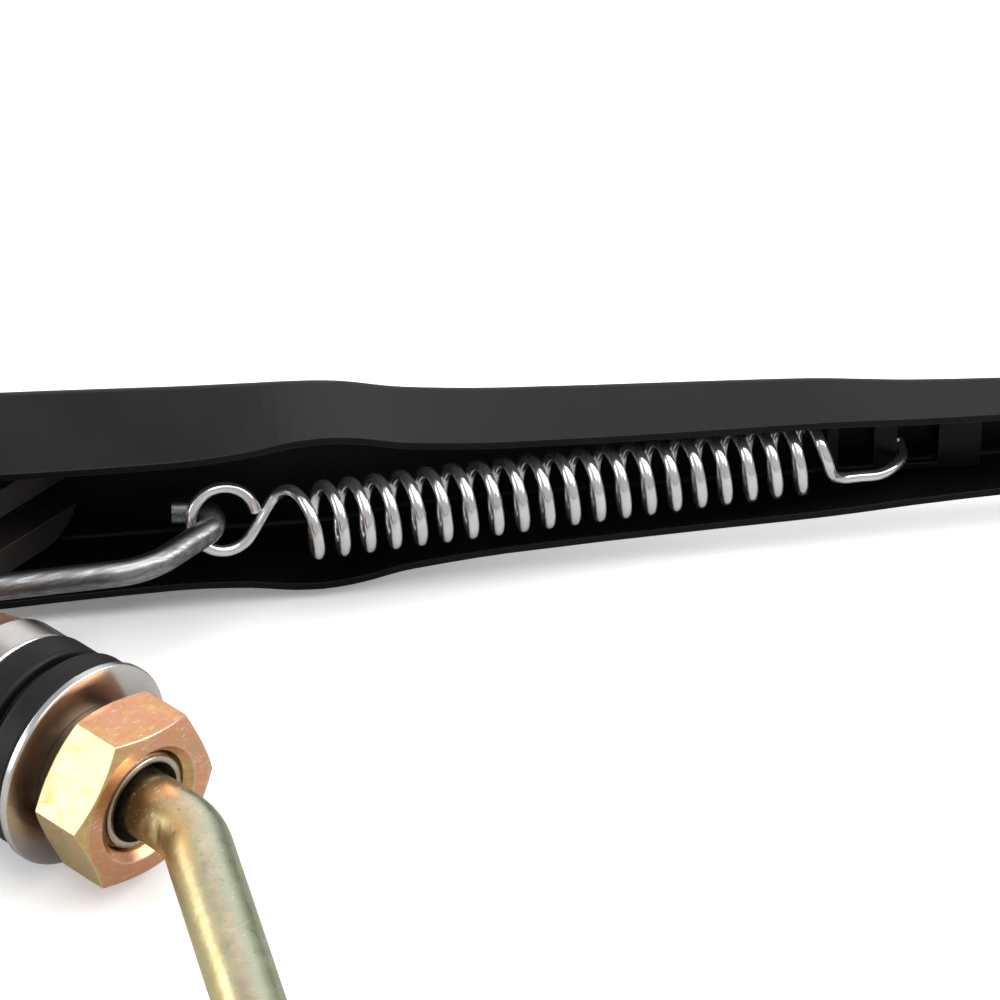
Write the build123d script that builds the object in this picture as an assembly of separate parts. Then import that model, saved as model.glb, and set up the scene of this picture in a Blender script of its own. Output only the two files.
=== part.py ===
from build123d import *
import os
from math import atan2, cos, pi, radians, sin, tan

# Hand-worked windscreen wiper, in millimetres.
# The spindle axis is Y, the glass plane is Y = 0 and the cab lies on the -Y side.
# The head points along +X. The arm hinges about Z and rests turned past the glass plane.

# Fits
RUN = 0.05  # radial running clearance
SEAT = 0.02  # radial clearance of a piece that sits still
GAP = 0.3  # clearance between neighbours that move

# Glass clamp
TUBE_R = 8.0
TUBE_BORE_R = 6.35
TUBE_TOP = 31.7
TUBE_RECESS = 0.8  # the tube ends this far inside the nut
BUSH_LENGTH = 10.0
BUSH_DEPTH = 9.0  # from the tube's inner end to the inner bush
INNER_RUBBER_R = 15.3
INNER_RUBBER_T = 4.6
OUTER_RUBBER_R = 14.6
OUTER_RUBBER_T = 5.4
RUBBER_ROUND = 0.8
GROOVE_R = 12.8  # spigot of the outer rubber in the hole of the glass
GROOVE_T = 1.9  # room for the glass as sold
WASHER_R = 15.9
WASHER_T = 1.3
COLLAR_R = 14.3
COLLAR_T = 6.2
WASHER_ROUND = 0.3
WASHER_PLAY = 0.3  # radial play of washers on the tube
LOCK_R = 9.7
LOCK_T = 2.9
LOCK_SPLIT = 1.2
LOCK_SLANT = 35.0
NUT_FLATS = 24.0
NUT_T = 9.8
OUTER_NUT_T = 8.0
NUT_TURN = -50.6  # where the first corner of the hexagon points
OUTER_NUT_TURN = -20.6
NUT_CHAMFER_ANGLE = 25.0
NUT_SINK = 1.2  # countersink of the nut's thread

# Handle
ROD_R = 5.0
ROD_BEND = 9.7  # from the tube's end to the corner of the bend
ROD_BEND_R = 11.0
HANDLE_ANGLE = 33.0
HANDLE_LENGTH = 128.0
GRIP_R = 10.5
GRIP_LENGTH = 78.0
GRIP_CAP = 4.0  # grip beyond the rod's end
GRIP_DOME = 6.0
GRIP_GROOVES = 6
GRIP_GROOVE = 1.2

# Head
HEAD_BOTTOM = 43.7
HEAD_TOP = 62.2
BOSS_R = 11.0
KNURL_R = 4.6
THREAD_R = 4.0
STUD_LENGTH = 9.5
HEAD_WASHER_R = 8.5
HEAD_WASHER_T = 1.6
HEAD_NUT_FLATS = 13.0
HEAD_NUT_T = 6.5
SLEEVE_R = 7.5
CHEEK_Z = 8.0  # half the width of the fork
SLOT_Z = 3.0  # half the width of the fork's slot
SLOT_START = 9.8
SLOT_ROOF = 4.0  # wall left over the slot beside the boss
NOSE_X = 45.0
NOSE_FRONT = 42.0
NOSE_ROUND = 2.5
LUG_R = 5.6
ANCHOR_X = 16.46
ANCHOR_Y = 40.6
ANCHOR_R = 2.0
ANCHOR_OVERHANG = 1.2

# Arm, drawn along its web: x from the hinge, y out from the glass, z across
HINGE_X = 23.0
HINGE_Y = 56.1
ARM_ANGLE = -42.4
SHEET = 1.2
WEB_Y = 10.4  # outer face of the web above the hinge axis
WALL_AT_HINGE = 19.7
WALL_SLOPE = 0.0553  # loss of wall depth along the arm
ARM_LENGTH = 190.0
WEB_START = 10.5
CORNER_R = 2.0
HINGE_HALF = 12.4  # half width at the hinge
HINGE_R = 3.0
RIVET_HEAD_R = 5.2
RIVET_HEAD_T = 2.0
SPACER_R = 7.0
STOP_GAP = 0.25
# corners of the pressing: place along the arm, half width at the web, half width at the open side
STATIONS = (
    (-11.0, HINGE_HALF, HINGE_HALF),
    (7.5, HINGE_HALF, HINGE_HALF),
    (13.5, 15.2, 12.75),
    (22.0, 15.1, 12.45),
    (40.0, 14.7, 12.15),
    (51.0, 14.5, 12.9),
    (58.0, 14.3, 14.1),
    (62.0, 14.15, 14.35),
    (66.0, 13.8, 14.05),
    (70.0, 13.05, 13.3),
    (74.0, 12.3, 12.3),
    (79.0, 11.75, 11.65),
    (90.0, 11.05, 10.65),
    (122.0, 10.3, 9.5),
    (138.0, 9.8, 9.1),
    (146.0, 9.1, 8.7),
    (153.0, 8.5, 8.25),
    (168.0, 7.9, 7.7),
    (ARM_LENGTH, 7.4, 7.3),
)
# places where the pressing is cut into straight pieces, closest at the shoulders
SECTIONS = (
    -11, 7.5, 9, 10.5, 12, 13.5, 22, 30, 40, 44, 48, 51, 54, 56, 58, 60, 62, 64, 66, 68, 70, 72, 74, 76, 79, 82,
    86, 90, 105, 122, 130, 134, 138, 141, 144, 147, 150, 153, 160, 168, ARM_LENGTH,
)

# Spring anchor plate inside the channel
PLATE_START = 140.2
PLATE_END = 164.0
PLATE_T = 1.0
PLATE_LIFT = 3.2  # room behind the bridge
PLATE_HALF = 5.7
FOOT_LENGTH = 1.2
FOOT_HALF = 4.6
WINDOW_HALF = 4.7
WINDOW_1 = (141.9, 147.4)
WINDOW_2 = (151.0, 157.4)

# Link: a round wire with an eye on the anchor pin, a crank and a hook
LINK_R = 2.0
EYE_PLAY = 0.1
EYE_TURN = 292.0
LINK_SLOPE = -36.87
CRANK_X = 37.6
CRANK_R = 14.0
HOOK_X = 50.0
HOOK_R = 3.2
HOOK_TURN = 133.0
HOOK_TIP = 3.0

# Tension spring
WIRE_R = 0.9
COIL_R = 5.1  # to the middle of the wire
COIL_PITCH = 3.95
COIL_TURNS = 20.36
COIL_LEAD = 2.2  # the first half turn is drawn out this far towards the ring
COIL_X = 61.2
COIL_Y = 11.04
COIL_ANGLE = -35.2
COIL_START = 30.0  # angle of the first coil about the axis
RING_R = 4.95
RING_TILT = 22.0
RING_FROM = 5.0
RING_TO = 325.0
RUN_Y = 1.0  # the hook's run in front of the bridge, in the arm's own axes
RUN_Z = -3.8
RUN_BEND = 1.3
RUN_TIP = 0.8  # the tip ends this far past the middle of the bridge
WIRE_SIDES = 8
TURN_STEPS = 14  # straight pieces per turn of the wire
NECK_STEPS = 6

# Strip and blade
STRIP_START = ARM_LENGTH - 19.0
STRIP_BEYOND = 12.0  # strip beyond the blade's pin
STRIP_HALF = 4.2
STRIP_T = 2.5
STRIP_RIVETS = (ARM_LENGTH - 13.0, ARM_LENGTH - 5.0)
STRIP_RIVET_R = 1.5
STRIP_RIVET_HEAD_R = 2.8
STRIP_RIVET_HEAD_T = 1.1
CLIP_X = 340.0
STRIP_END = CLIP_X + STRIP_BEYOND
CLIP_T = 1.2
CLIP_HALF_LENGTH = 11.0
CLIP_DROP = 16.5
BLADE_PIN_R = 1.8
BLADE_PIN_DROP = 13.0  # from the strip to the blade's pin
BLADE_PIN_HEAD_R = 3.0
BLADE_PIN_HEAD_T = 1.0
SADDLE_HALF = 4.6
SADDLE_T = 1.2
SADDLE_HALF_LENGTH = 26.0
SADDLE_TOP = 4.2  # above the blade's pin
HOLDER_HALF_LENGTH = 130.0
HOLDER_HALF = 3.4
HOLDER_T = 0.8
HOLDER_HEIGHT = 8.0
HOLDER_ROUND = 2.0
RUBBER_NECK = 1.2
RUBBER_LIP = 0.5
RUBBER_WIDE = 2.3
RUBBER_DROP = 9.0
END_CLIP_LENGTH = 8.0
END_CLIP_T = 0.6

# Derived places
inner_washer_y = -INNER_RUBBER_T - WASHER_T
lock_y = inner_washer_y - LOCK_T
inner_nut_y = lock_y - NUT_T
tube_end = inner_nut_y + TUBE_RECESS
collar_y = GROOVE_T + OUTER_RUBBER_T
outer_nut_y = collar_y + COLLAR_T
web_inner = WEB_Y - SHEET
anchor = Vector(ANCHOR_X, ANCHOR_Y, 0)
arm_place = Location((HINGE_X, HINGE_Y, 0), (0, 0, ARM_ANGLE))
strip_low = web_inner - STRIP_T
blade_pin_y = strip_low - CLIP_T - BLADE_PIN_DROP
holder_top = blade_pin_y - BLADE_PIN_R - GAP
rubber_top = holder_top - HOLDER_T


def across(y):
    """Plane square to the spindle at height y, facing +Y."""
    return Plane(origin=(0, y, 0), x_dir=(1, 0, 0), z_dir=(0, 1, 0))


def disc(radius, start, end):
    """Round bar on the spindle axis."""
    return extrude(across(start) * Circle(radius), end - start)


def sleeve(outer, inner, start, end):
    """Tube on the spindle axis."""
    return disc(outer, start, end) - disc(inner, start, end)


def post(x, y, radius, start, end):
    """Round bar along Z."""
    return Pos(x, y, (start + end) / 2) * Cylinder(radius, end - start)


def rounded_ring(outer, inner, start, end, radius):
    """Washer with rounded outer edges."""
    plate = disc(outer, start, end)
    rim = [e for e in plate.edges() if e.geom_type == GeomType.CIRCLE]
    return fillet(rim, radius) - disc(inner, start, end)


def tube_along(path, radius):
    """Round wire swept along a path."""
    start = Plane(origin=path @ 0, z_dir=path % 0)
    return sweep(start * Circle(radius), path=path, is_frenet=True)


def hexagon(flats, thick, bore, start, turn, sink):
    """Hex nut chamfered on both faces, with a countersunk bore."""
    corner = flats / 3**0.5
    body = extrude(across(start) * RegularPolygon(corner, 6, rotation=turn), thick)
    bevel = (corner - flats / 2 + 0.25) * tan(radians(NUT_CHAMFER_ANGLE))
    flat_r = flats / 2 - 0.25
    profile = Polyline(
        (0, start), (flat_r, start), (corner, start + bevel),
        (corner, start + thick - bevel), (flat_r, start + thick), (0, start + thick), close=True,
    )
    turned = revolve(make_face(profile), Axis.Y)
    hole = disc(bore, start, start + thick)
    for face, step in ((start, 1), (start + thick, -1)):
        cone = Polyline(
            (0, face), (bore + sink, face), (bore, face + step * sink), (0, face + step * sink), close=True
        )
        hole += revolve(make_face(cone), Axis.Y)
    return (body & turned) - hole


def on_arm(shape):
    """Put a shape drawn in the arm's own axes into place."""
    return arm_place * shape


def arm_point(x, y, z=0.0):
    """A point given in the arm's own axes."""
    return (arm_place * Pos(x, y, z)).position


# Glass clamp
def pivot_tube():
    return sleeve(TUBE_R, TUBE_BORE_R, tube_end, TUBE_TOP)


def bush(start):
    return sleeve(TUBE_BORE_R - SEAT, ROD_R + RUN, start, start + BUSH_LENGTH)


def lock_washer():
    """Split spring washer."""
    ring = sleeve(LOCK_R, TUBE_R + WASHER_PLAY, lock_y, inner_washer_y)
    cut = Pos(LOCK_R / 2, lock_y + LOCK_T / 2, 0) * Rot(LOCK_SLANT, 0, 0) * Box(LOCK_R, 4 * LOCK_T, LOCK_SPLIT)
    return ring - cut


def outer_rubber():
    """Rubber washer with a spigot that centres it in the hole of the glass."""
    play = TUBE_R + WASHER_PLAY
    washer = rounded_ring(OUTER_RUBBER_R, play, GROOVE_T, collar_y, RUBBER_ROUND)
    return washer + sleeve(GROOVE_R, play, 0, GROOVE_T)


def clamp_parts():
    play = TUBE_R + WASHER_PLAY
    bore = TUBE_R + RUN
    return {
        "pivot_tube": pivot_tube(),
        "inner_bush": bush(tube_end + BUSH_DEPTH),
        "outer_bush": bush(TUBE_TOP - BUSH_LENGTH),
        "inner_rubber_washer": rounded_ring(INNER_RUBBER_R, play, -INNER_RUBBER_T, 0, RUBBER_ROUND),
        "outer_rubber_washer": outer_rubber(),
        "inner_washer": rounded_ring(WASHER_R, play, inner_washer_y, -INNER_RUBBER_T, WASHER_ROUND),
        "lock_washer": lock_washer(),
        "outer_collar": rounded_ring(COLLAR_R, play, collar_y, outer_nut_y, 2 * WASHER_ROUND),
        "inner_nut": hexagon(NUT_FLATS, NUT_T, bore, inner_nut_y, NUT_TURN, NUT_SINK),
        "outer_nut": hexagon(NUT_FLATS, OUTER_NUT_T, bore, outer_nut_y, OUTER_NUT_TURN, NUT_SINK),
    }


# Handle
def handle_rod():
    corner = Vector(0, tube_end - ROD_BEND, 0)
    end = corner + Vector(-sin(radians(HANDLE_ANGLE)), -cos(radians(HANDLE_ANGLE)), 0) * HANDLE_LENGTH
    path = FilletPolyline((0, HEAD_BOTTOM, 0), corner, end, radius=ROD_BEND_R)
    stud_top = HEAD_TOP + STUD_LENGTH
    return tube_along(path, ROD_R) + disc(KNURL_R, HEAD_BOTTOM, HEAD_TOP) + disc(THREAD_R, HEAD_TOP, stud_top)


def handle_grip():
    corner = Vector(0, tube_end - ROD_BEND, 0)
    toward = Vector(-sin(radians(HANDLE_ANGLE)), -cos(radians(HANDLE_ANGLE)), 0)
    start = HANDLE_LENGTH + GRIP_CAP - GRIP_LENGTH
    neck = ROD_R + 2.5
    tip_r = GRIP_R - 1.0
    tip_y = GRIP_LENGTH - GRIP_DOME
    outline = Spline((neck, 0), (GRIP_R - 1.2, GRIP_LENGTH * 0.18), (GRIP_R, GRIP_LENGTH * 0.6), (tip_r, tip_y))
    dome_r = (tip_r**2 + GRIP_DOME**2) / (2 * GRIP_DOME)
    half = atan2(tip_r, dome_r - GRIP_DOME) / 2
    crown = (dome_r * sin(half), GRIP_LENGTH - dome_r + dome_r * cos(half))
    dome = ThreePointArc((tip_r, tip_y), crown, (0, GRIP_LENGTH))
    back = Polyline((0, GRIP_LENGTH), (0, 0), (neck, 0))
    body = revolve(make_face(outline + dome + back), Axis.Y)
    pitch = GRIP_LENGTH * 0.62 / GRIP_GROOVES
    for i in range(GRIP_GROOVES):
        y = GRIP_LENGTH * 0.22 + i * pitch
        cut = revolve(Pos(GRIP_R + GRIP_GROOVE * 0.6, y) * Circle(GRIP_GROOVE * 1.5), Axis.Y)
        body -= cut
    bore_depth = GRIP_LENGTH - GRIP_CAP
    body -= extrude(across(0) * Circle(ROD_R + SEAT), bore_depth)
    place = Plane(origin=corner + toward * start, x_dir=(toward.Y, -toward.X, 0), z_dir=(0, 0, 1))
    return place.location * body


# Head
def head_plan():
    """Outline of the fork seen along Z, with the stop face that meets the arm's web."""
    along = Vector(cos(radians(ARM_ANGLE)), sin(radians(ARM_ANGLE)), 0)
    out = Vector(-along.Y, along.X, 0)
    reach = Vector(HINGE_X, HINGE_Y, 0).dot(out) + web_inner - STOP_GAP
    stop_x = (reach - HEAD_TOP * out.Y) / out.X
    nose_y = (reach - NOSE_X * out.X) / out.Y
    outline = Polyline(
        (0, HEAD_BOTTOM), (BOSS_R, HEAD_BOTTOM), (ANCHOR_X, NOSE_FRONT), (NOSE_X, NOSE_FRONT),
        (NOSE_X, nose_y), (stop_x, HEAD_TOP), (0, HEAD_TOP), close=True,
    )
    return make_face(outline)


def arm_head():
    fork = extrude(head_plan(), CHEEK_Z, both=True)
    fork += post(ANCHOR_X, ANCHOR_Y, LUG_R, -CHEEK_Z, CHEEK_Z)
    half = NOSE_X + BOSS_R
    nose = Plane.XZ * Pos(half / 2 - BOSS_R, 0) * SlotOverall(half, 2 * CHEEK_Z)
    fork &= extrude(nose, 3 * HEAD_TOP, both=True)
    head = fork + disc(BOSS_R, HEAD_BOTTOM, HEAD_TOP)
    long = NOSE_X - SLOT_START + LUG_R
    deep = HEAD_TOP
    slot = Pos(SLOT_START + long / 2, HEAD_TOP - SLOT_ROOF - deep / 2) * Box(long, deep, 2 * SLOT_Z)
    open_x = HINGE_X - HINGE_R
    slot += Pos(open_x + long / 2, HEAD_TOP) * Box(long, deep, 2 * SLOT_Z)
    head -= slot
    head -= disc(KNURL_R + SEAT, HEAD_BOTTOM, HEAD_TOP)
    head -= post(HINGE_X, HINGE_Y, HINGE_R + RUN, -BOSS_R, BOSS_R)
    head -= post(ANCHOR_X, ANCHOR_Y, ANCHOR_R + SEAT, -BOSS_R, BOSS_R)
    return head


def turning_parts():
    washer_top = HEAD_TOP + HEAD_WASHER_T
    pin_half = CHEEK_Z + ANCHOR_OVERHANG
    pin = post(ANCHOR_X, ANCHOR_Y, ANCHOR_R, -pin_half, pin_half)
    return {
        "handle_rod": handle_rod(),
        "handle_grip": handle_grip(),
        "spacer_sleeve": sleeve(SLEEVE_R, ROD_R + RUN, TUBE_TOP + GAP, HEAD_BOTTOM),
        "arm_head": arm_head(),
        "head_washer": rounded_ring(
            HEAD_WASHER_R, THREAD_R + WASHER_PLAY, HEAD_TOP, washer_top, WASHER_ROUND
        ),
        "head_nut": hexagon(HEAD_NUT_FLATS, HEAD_NUT_T, THREAD_R + RUN, washer_top, 0, NUT_SINK / 2),
        "anchor_pin": chamfer(pin.edges().filter_by(GeomType.CIRCLE), ANCHOR_R * 0.2),
    }


# Arm
def wall_front(x):
    """Height of the walls' open edge."""
    return WEB_Y - WALL_AT_HINGE + WALL_SLOPE * x


def channel_section(x, web_half, open_half, inset, below):
    """Section of the pressing at x, moved in by inset and carried on below the open edge."""
    front = wall_front(x)
    back = WEB_Y - inset
    lean = (web_half - open_half) / (WEB_Y - front)
    low = front - below
    low_half = open_half - lean * below - inset
    corners = Polyline(
        (low, -low_half), (back, inset - web_half), (back, web_half - inset), (low, low_half), close=True
    )
    face = make_face(corners)
    rounded = [v for v in face.vertices() if v.X > (low + back) / 2]
    face = fillet(rounded, CORNER_R - inset)
    return Plane(origin=(x, 0, 0), x_dir=(0, 1, 0), z_dir=(1, 0, 0)) * face


def slope_at(i, column):
    """Slope of the pressing's curve at a station, flat at a high or low point."""
    if i == 0 or i == len(STATIONS) - 1:
        return 0.0
    before = STATIONS[i][0] - STATIONS[i - 1][0]
    after = STATIONS[i + 1][0] - STATIONS[i][0]
    rise = (STATIONS[i][column] - STATIONS[i - 1][column]) / before
    fall = (STATIONS[i + 1][column] - STATIONS[i][column]) / after
    if rise * fall <= 0:
        return 0.0
    first = 2 * after + before
    second = after + 2 * before
    return (first + second) / (first / rise + second / fall)


def half_width(x, column):
    """Half width at x on a smooth curve through the stations that never overshoots."""
    i = max(k for k in range(len(STATIONS) - 1) if STATIONS[k][0] <= x)
    span = STATIONS[i + 1][0] - STATIONS[i][0]
    t = (x - STATIONS[i][0]) / span
    low = STATIONS[i][column] * (1 + 2 * t) * (1 - t) ** 2
    high = STATIONS[i + 1][column] * t**2 * (3 - 2 * t)
    bend = slope_at(i, column) * t * (1 - t) ** 2 - slope_at(i + 1, column) * t**2 * (1 - t)
    return low + high + span * bend


def pressing(inset, below):
    """Solid between the pressing's sections."""
    faces = [channel_section(x, half_width(x, 1), half_width(x, 2), inset, below) for x in SECTIONS]
    return loft(faces, ruled=True)


def ear_cut():
    """What is cut away around the round end of the walls at the hinge."""
    radius = WALL_AT_HINGE / 2 + RUN
    block = Pos(-radius, 0) * Box(2 * radius, 4 * radius, 4 * HINGE_HALF)
    return block - Pos(0, WEB_Y - WALL_AT_HINGE / 2) * Cylinder(radius, 5 * HINGE_HALF)


def arm_channel():
    shell = pressing(0.0, 0.0) - pressing(SHEET, WALL_AT_HINGE / 6)
    shell -= ear_cut()
    web_cut = Pos(WEB_START - ARM_LENGTH / 2, WEB_Y) * Box(
        ARM_LENGTH, 2 * CORNER_R, 2 * (HINGE_HALF - SHEET)
    )
    shell -= web_cut
    shell -= Cylinder(HINGE_R + SEAT, 3 * HINGE_HALF)
    for x in STRIP_RIVETS:
        shell -= Pos(x, WEB_Y, 0) * Rot(90, 0, 0) * Cylinder(STRIP_RIVET_R + SEAT, 4 * SHEET)
    return on_arm(shell)


def hinge_rivet():
    """Stub rivet through one wall and one cheek, drawn on the +Z side."""
    shank = Pos(0, 0, (SLOT_Z + GAP + HINGE_HALF) / 2) * Cylinder(HINGE_R, HINGE_HALF - SLOT_Z - GAP)
    head = Pos(0, 0, HINGE_HALF + RIVET_HEAD_T / 2) * Cylinder(RIVET_HEAD_R, RIVET_HEAD_T)
    top = head.edges().filter_by(GeomType.CIRCLE).sort_by(Axis.Z)[-1]
    return shank + fillet(top, RIVET_HEAD_T * 0.7)


def hinge_spacer():
    thick = HINGE_HALF - SHEET - CHEEK_Z - 2 * RUN
    middle = CHEEK_Z + RUN + thick / 2
    ring = Cylinder(SPACER_R, thick) - Cylinder(HINGE_R + RUN, thick)
    return Pos(0, 0, middle) * ring


def both_sides(shape):
    """A piece and its mirror image across the arm, in one group."""
    return on_arm(Compound(children=[shape, mirror(shape, about=Plane.XY)]))


def spring_anchor():
    long = PLATE_END - PLATE_START
    middle = (PLATE_START + PLATE_END) / 2
    high = PLATE_LIFT + PLATE_T
    plate = Pos(middle, web_inner - high / 2) * Box(long, high, 2 * PLATE_HALF)
    room = Pos(middle, web_inner - PLATE_LIFT / 2) * Box(
        long - 2 * FOOT_LENGTH, PLATE_LIFT, 2 * PLATE_HALF
    )
    plate -= room
    for step in (-1, 1):
        beside = Box(2 * long, 2 * PLATE_LIFT, PLATE_HALF)
        plate -= Pos(middle, web_inner, step * (FOOT_HALF + PLATE_HALF / 2)) * beside
    for start, end in (WINDOW_1, WINDOW_2):
        window = Box(end - start, 4 * high, 2 * WINDOW_HALF)
        window = fillet(window.edges().filter_by(Axis.Y), CORNER_R / 4)
        plate -= Pos((start + end) / 2, web_inner - high) * window
    return on_arm(plate)


# Link
def hook_link():
    eye_r = ANCHOR_R + LINK_R + EYE_PLAY
    slope = radians(LINK_SLOPE)
    leave = anchor + Vector(sin(slope), -cos(slope), 0) * eye_r
    eye_start = LINK_SLOPE - 90.0
    eye = CenterArc(anchor, eye_r, eye_start - EYE_TURN, EYE_TURN)
    reach = CRANK_X - leave.X
    crank = leave + Vector(reach, reach * tan(slope), 0)
    hook_foot = Vector(HOOK_X, crank.Y, 0)
    shank = FilletPolyline(leave, crank, hook_foot, radius=CRANK_R)
    hook = CenterArc(hook_foot + Vector(0, HOOK_R, 0), HOOK_R, -90, HOOK_TURN)
    tip = Line(hook @ 1, hook @ 1 + (hook % 1) * HOOK_TIP)
    path = Wire([*eye.edges(), *shank.edges(), *hook.edges(), *tip.edges()])
    return tube_along(path, LINK_R)


# Spring
def hook_centre():
    """Middle of the hook's bend, where the ring's wire passes through it."""
    eye_r = ANCHOR_R + LINK_R + EYE_PLAY
    slope = radians(LINK_SLOPE)
    leave = anchor + Vector(sin(slope), -cos(slope), 0) * eye_r
    return Vector(HOOK_X, leave.Y + (CRANK_X - leave.X) * tan(slope) + HOOK_R, 0)


def ring_points(axis, side):
    """The open ring that the link's hook passes through."""
    middle = hook_centre() + axis * RING_R
    up = side * sin(radians(RING_TILT)) + Vector(0, 0, cos(radians(RING_TILT)))
    count = round(TURN_STEPS * (RING_TO - RING_FROM) / 300)
    angles = [radians(RING_FROM + (RING_TO - RING_FROM) * i / count) for i in range(count + 1)]
    return [middle + (axis * cos(a) + up * sin(a)) * RING_R for a in angles]


def coil_points(axis, side):
    """The right-hand coil."""
    start = Vector(COIL_X, COIL_Y, 0)
    count = round(TURN_STEPS * COIL_TURNS)
    points = []
    for i in range(count + 1):
        turns = COIL_TURNS * i / count
        angle = radians(COIL_START) + 2 * pi * turns
        around = side * cos(angle) + Vector(0, 0, 1) * sin(angle)
        drawn = COIL_LEAD * max(0.0, 1.0 - 2.0 * turns) ** 2
        points.append(start + axis * (turns * COIL_PITCH - drawn) + around * COIL_R)
    return points


def neck_points(ring, coil):
    """A smooth run from the ring's end up and over into the first turn."""
    way = (coil[0] - ring[-1]).length
    leave = (ring[-1] - ring[-2]).normalized() * way
    arrive = (coil[1] - coil[0]).normalized() * way
    points = []
    for k in range(1, NECK_STEPS):
        t = k / NECK_STEPS
        start = ring[-1] * (2 * t**3 - 3 * t**2 + 1) + leave * (t**3 - 2 * t**2 + t)
        points.append(start + coil[0] * (3 * t**2 - 2 * t**3) + arrive * (t**3 - t**2))
    return points


def hook_points(start):
    """The side hook, through the second window and behind the bridge."""
    bridge_x = (WINDOW_1[1] + WINDOW_2[0]) / 2
    behind_y = web_inner - PLATE_LIFT / 2
    past_x = (WINDOW_2[0] + WINDOW_2[1]) / 2 - WIRE_R
    start_x = (arm_place.inverse() * Pos(start.X, start.Y, start.Z)).position.X
    path = FilletPolyline(
        start,
        arm_point(start_x + RUN_BEND, RUN_Y, RUN_Z),
        arm_point(bridge_x + WIRE_R, RUN_Y + WIRE_R, RUN_Z),
        arm_point(past_x, behind_y, RUN_Z),
        arm_point(bridge_x - RUN_TIP, behind_y, RUN_Z / 2),
        radius=WIRE_R * 1.6,
    )
    return [path @ (i / (2 * TURN_STEPS)) for i in range(1, 2 * TURN_STEPS + 1)]


def wire_section(points, i, lean):
    """Section of the wire at point i, and the sideways direction carried along the wire."""
    before = points[max(i - 1, 0)]
    after = points[min(i + 1, len(points) - 1)]
    ahead = (after - before).normalized()
    lean = (lean - ahead * lean.dot(ahead)).normalized()
    place = Plane(origin=points[i], x_dir=lean, z_dir=ahead)
    return place * RegularPolygon(WIRE_R, WIRE_SIDES), lean


def tension_spring():
    axis = Vector(cos(radians(COIL_ANGLE)), sin(radians(COIL_ANGLE)), 0)
    side = Vector(-axis.Y, axis.X, 0)
    coil = coil_points(axis, side)
    ring = ring_points(axis, side)
    points = ring + neck_points(ring, coil) + coil + hook_points(coil[-1])
    lean = side
    faces = []
    for i in range(len(points)):
        face, lean = wire_section(points, i, lean)
        faces.append(face)
    return loft(faces, ruled=True)


# Strip and blade
def arm_strip():
    long = STRIP_END - STRIP_START
    bar = Pos((STRIP_START + STRIP_END) / 2, web_inner - STRIP_T / 2) * Box(long, STRIP_T, 2 * STRIP_HALF)
    bar = fillet(bar.edges().filter_by(Axis.Y), STRIP_HALF * 0.6)
    for x in (*STRIP_RIVETS, CLIP_X):
        bar -= Pos(x, web_inner, 0) * Rot(90, 0, 0) * Cylinder(STRIP_RIVET_R + SEAT, 4 * STRIP_T)
    return on_arm(bar)


def strip_rivet(x, low, high):
    """Rivet along the arm's y with a round head at each end."""
    shank = Pos(x, (low + high) / 2, 0) * Rot(90, 0, 0) * Cylinder(STRIP_RIVET_R, high - low)
    for y, step in ((low, -1), (high, 1)):
        head = Pos(x, y + step * STRIP_RIVET_HEAD_T / 2, 0) * Rot(90, 0, 0)
        head = head * Cylinder(STRIP_RIVET_HEAD_R, STRIP_RIVET_HEAD_T)
        rims = head.edges().filter_by(GeomType.CIRCLE).sort_by(Axis.Y)
        shank += fillet(rims[-1] if step > 0 else rims[0], STRIP_RIVET_HEAD_T * 0.6)
    return shank


def blade_clip():
    inside = SADDLE_HALF + GAP
    half = inside + CLIP_T
    top = strip_low
    low = top - CLIP_T - CLIP_DROP
    clip = Pos(CLIP_X, (top + low) / 2) * Box(2 * CLIP_HALF_LENGTH, top - low, 2 * half)
    clip = fillet(clip.edges().filter_by(Axis.X).sort_by(Axis.Y)[-2:], CLIP_T)
    clip = fillet(clip.edges().filter_by(Axis.Z).sort_by(Axis.Y)[:2], CLIP_HALF_LENGTH * 0.6)
    clip -= Pos(CLIP_X, top - CLIP_T - CLIP_DROP) * Box(3 * CLIP_HALF_LENGTH, 2 * CLIP_DROP, 2 * inside)
    clip -= post(CLIP_X, blade_pin_y, BLADE_PIN_R + SEAT, -3 * half, 3 * half)
    clip -= Pos(CLIP_X, top, 0) * Rot(90, 0, 0) * Cylinder(STRIP_RIVET_R + SEAT, 4 * CLIP_T)
    return on_arm(clip)


def blade_pin():
    half = SADDLE_HALF + GAP + CLIP_T
    pin = post(CLIP_X, blade_pin_y, BLADE_PIN_R, -half, half)
    for step in (-1, 1):
        head = Pos(CLIP_X, blade_pin_y, step * (half + BLADE_PIN_HEAD_T / 2))
        pin += head * Cylinder(BLADE_PIN_HEAD_R, BLADE_PIN_HEAD_T)
    return on_arm(pin)


def blade_saddle():
    top = blade_pin_y + SADDLE_TOP
    foot = rubber_top - HOLDER_HEIGHT / 2
    side = Polyline(
        (-SADDLE_HALF_LENGTH, foot), (SADDLE_HALF_LENGTH, foot), (SADDLE_HALF_LENGTH, holder_top + SADDLE_T),
        (CLIP_HALF_LENGTH * 0.8, top), (-CLIP_HALF_LENGTH * 0.8, top),
        (-SADDLE_HALF_LENGTH, holder_top + SADDLE_T), close=True,
    )
    saddle = Pos(CLIP_X, 0) * extrude(make_face(side), SADDLE_HALF, both=True)
    inside = SADDLE_HALF - SADDLE_T
    room = Pos(CLIP_X, top - SADDLE_T - HOLDER_HEIGHT) * Box(
        3 * SADDLE_HALF_LENGTH, 2 * HOLDER_HEIGHT, 2 * inside
    )
    saddle -= room
    saddle -= post(CLIP_X, blade_pin_y, BLADE_PIN_R + RUN, -3 * SADDLE_HALF, 3 * SADDLE_HALF)
    return on_arm(saddle)


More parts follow.
